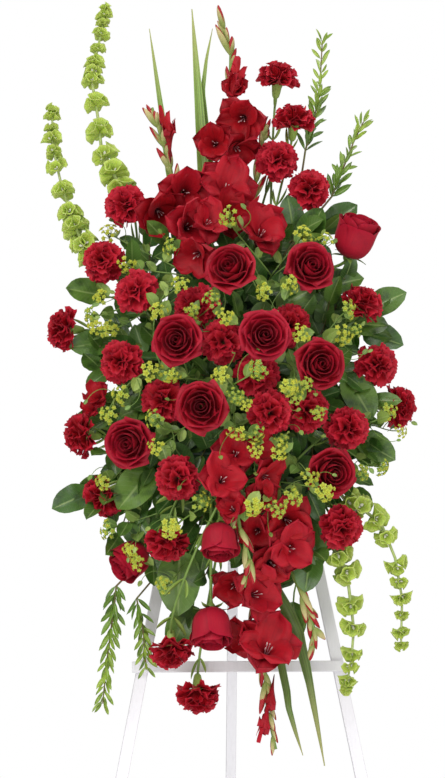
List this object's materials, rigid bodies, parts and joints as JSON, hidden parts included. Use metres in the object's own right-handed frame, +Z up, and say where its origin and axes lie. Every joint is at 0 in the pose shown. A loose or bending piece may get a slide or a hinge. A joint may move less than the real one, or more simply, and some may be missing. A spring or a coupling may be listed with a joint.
{
  "type": "standing funeral spray",
  "caption": "Standing spray of red roses, carnations and gladioli with green bells, umbels and leaves, in floral foam on a folding three-legged white wooden easel.",
  "frame": {"origin": "on the floor, below the middle of the whole part's box", "axes": "+Z up; the flowers face -Y; +X to the right as seen by someone facing the flowers"},
  "size_m": [0.5892, 0.6654, 1.6909],
  "materials": {
    "easel_wood": "satin white paint",
    "zinc_steel": "zinc plated",
    "holder_plastic": "moulded dark green",
    "wet_foam": "open-celled floral foam, soaked",
    "petal_rose": "velvety crimson petal",
    "petal_carnation": "ruffled red petal",
    "petal_gladiolus": "silky scarlet petal",
    "bell_calyx": "papery lime calyx with a net of veins",
    "leaf_myrtle": "glossy dark green leaf",
    "leaf_salal": "leathery green leaf",
    "umbel_green": "yellow-green bract and floret",
    "stem_and_blade": "matt green stem and blade"
  },
  "bodies": {
    "stand": {"leg_left": "easel_wood", "leg_right": "easel_wood", "crossbar": "easel_wood", "head_block": "easel_wood", "hinge_pin": "zinc_steel", "holder_tray": "holder_plastic", "tie_upper_left": "holder_plastic", "tie_upper_right": "holder_plastic", "tie_lower_left": "holder_plastic", "tie_lower_right": "holder_plastic", "holder_cage": "holder_plastic", "foam_block": "wet_foam", "rose_top": "petal_rose", "rose_upper_right": "petal_rose", "rose_left": "petal_rose", "rose_centre": "petal_rose", "rose_right": "petal_rose", "rose_low_centre": "petal_rose", "rose_low_left": "petal_rose", "rose_low_right": "petal_rose", "rose_hanging": "petal_rose", "carnation_top": "petal_carnation", "carnation_upper_middle": "petal_carnation", "carnation_upper_left": "petal_carnation", "carnation_left": "petal_carnation", "carnation_lower_left": "petal_carnation", "carnation_low_centre": "petal_carnation", "carnation_mid_left": "petal_carnation", "carnation_middle": "petal_carnation", "carnation_right": "petal_carnation", "carnation_low_right": "petal_carnation", "carnation_hanging": "petal_carnation", "gladiolus_tall": "petal_gladiolus", "gladiolus_left": "petal_gladiolus", "gladiolus_right": "petal_gladiolus", "gladiolus_low": "petal_gladiolus", "gladiolus_low_right": "petal_gladiolus", "gladiolus_low_centre": "petal_gladiolus", "bells_tall": "bell_calyx", "bells_left": "bell_calyx", "bells_low": "bell_calyx", "bells_low_right": "bell_calyx", "myrtle_tall": "leaf_myrtle", "myrtle_right": "leaf_myrtle", "myrtle_low_left": "leaf_myrtle", "myrtle_low": "leaf_myrtle", "salal_left": "leaf_salal", "salal_low_left": "leaf_salal", "salal_top_right": "leaf_salal", "salal_right": "leaf_salal", "salal_low_right": "leaf_salal", "bupleurum_upper_left": "umbel_green", "bupleurum_left": "umbel_green", "bupleurum_top": "umbel_green", "bupleurum_centre": "umbel_green", "bupleurum_right": "umbel_green", "bupleurum_low": "umbel_green", "leaf_blades_top": "stem_and_blade", "leaf_blades_low": "stem_and_blade"},
    "rear_leg": {"rear_leg": "easel_wood"}
  },
  "joints": [
    {"name": "rear_leg_hinge", "type": "hinge", "parent": "stand", "child": "rear_leg", "pos_m": [0.00445, 0.01083, 1.36002], "axis": [-1, 0, 0], "range_deg": [0, 22.5]}
  ]
}
